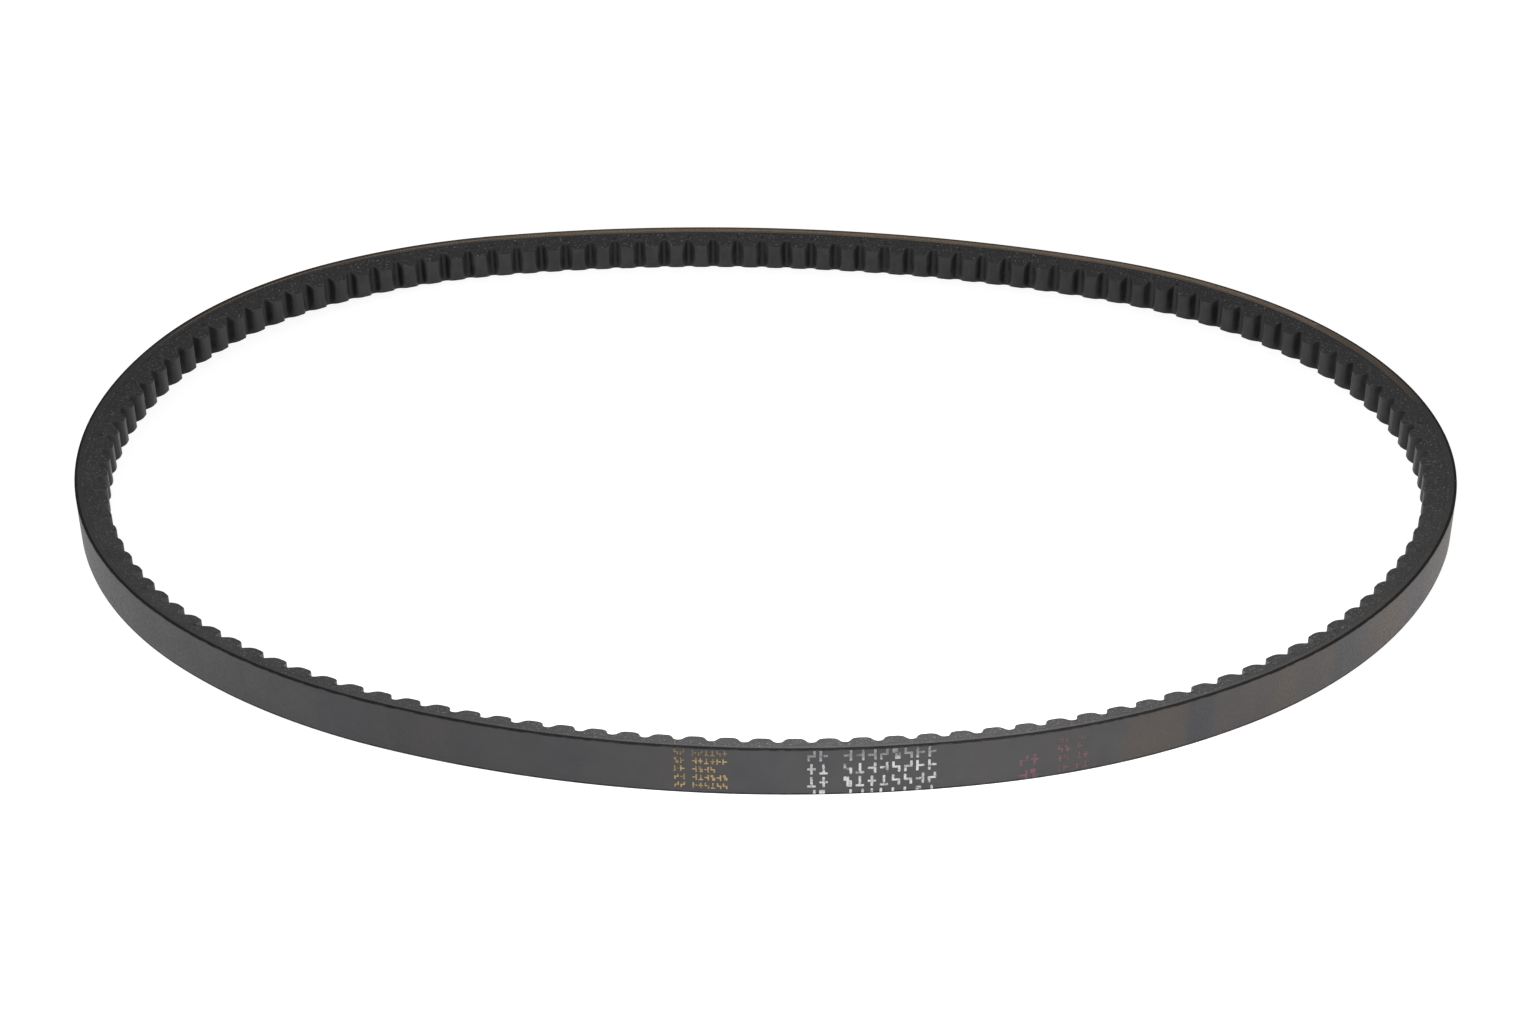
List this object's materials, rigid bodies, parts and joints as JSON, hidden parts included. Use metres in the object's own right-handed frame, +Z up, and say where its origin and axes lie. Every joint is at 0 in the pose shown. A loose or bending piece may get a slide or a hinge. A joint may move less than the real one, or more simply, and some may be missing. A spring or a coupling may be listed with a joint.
{
  "type": "cogged v-belt",
  "caption": "Raw-edge cogged V-belt, an endless rubber loop with a fabric back, wound tensile cord, tapered flanks and moulded cogs inside, lying on its side.",
  "frame": {"origin": "under the middle of the loop, level with the cut edge of the back fabric that the belt rests on", "axes": "+Z up, across the belt's width; +X along the longer way of the loop; +Y across it, away from the printed side"},
  "size_m": [0.4977, 0.3698, 0.017],
  "materials": {
    "back_fabric": "smooth worn rubberised fabric, satin",
    "inner_fabric": "rubberised fabric, cut edge",
    "cushion_rubber": "cut edge of tan cushion rubber, matt",
    "tensile_cord": "cut polyester cord, matt",
    "compression_rubber": "fibre-loaded rubber, ground flanks and moulded cogs, matt",
    "white_ink": "worn printed ink",
    "gold_ink": "worn printed ink",
    "red_ink": "rubbed, faint printed ink"
  },
  "bodies": {
    "root": {"outer_fabric_ply": "back_fabric", "inner_fabric_ply": "inner_fabric", "overcord_rubber": "cushion_rubber", "tensile_cord": "tensile_cord", "undercord_rubber": "cushion_rubber", "compression_rubber": "compression_rubber", "white_print": "white_ink", "gold_print": "gold_ink", "red_print": "red_ink"}
  },
  "joints": []
}
